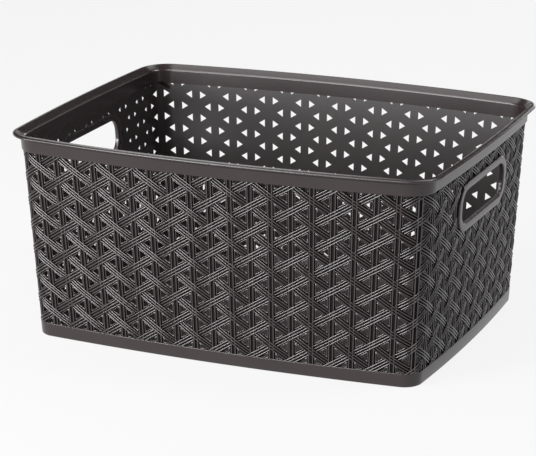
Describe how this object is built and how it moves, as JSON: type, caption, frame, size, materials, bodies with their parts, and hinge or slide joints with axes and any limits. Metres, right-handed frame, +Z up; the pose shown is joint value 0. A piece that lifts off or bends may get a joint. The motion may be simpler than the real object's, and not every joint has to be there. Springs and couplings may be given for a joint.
{
  "type": "storage basket",
  "caption": "Open rectangular moulded storage basket with woven-look relief walls, a flared lip, a smooth plinth and a framed hand slot in each short side.",
  "frame": {"origin": "middle of the underside, on the surface that the basket stands on", "axes": "+X along the long side, +Y from the front wall to the back wall, +Z up"},
  "size_m": [0.3584, 0.2868, 0.1659],
  "materials": {
    "smooth_plastic": "satin dark brown, smooth moulded",
    "woven_look_plastic": "satin dark brown, ribbed weave relief"
  },
  "bodies": {
    "root": {"floor_panel": "smooth_plastic", "plinth_band": "smooth_plastic", "front_wall": "woven_look_plastic", "back_wall": "woven_look_plastic", "left_wall": "woven_look_plastic", "right_wall": "woven_look_plastic", "corner_front_left": "woven_look_plastic", "corner_front_right": "woven_look_plastic", "corner_back_left": "woven_look_plastic", "corner_back_right": "woven_look_plastic", "upper_band": "smooth_plastic", "rim_lip": "smooth_plastic", "left_handle_frame": "smooth_plastic", "right_handle_frame": "smooth_plastic"}
  },
  "joints": []
}
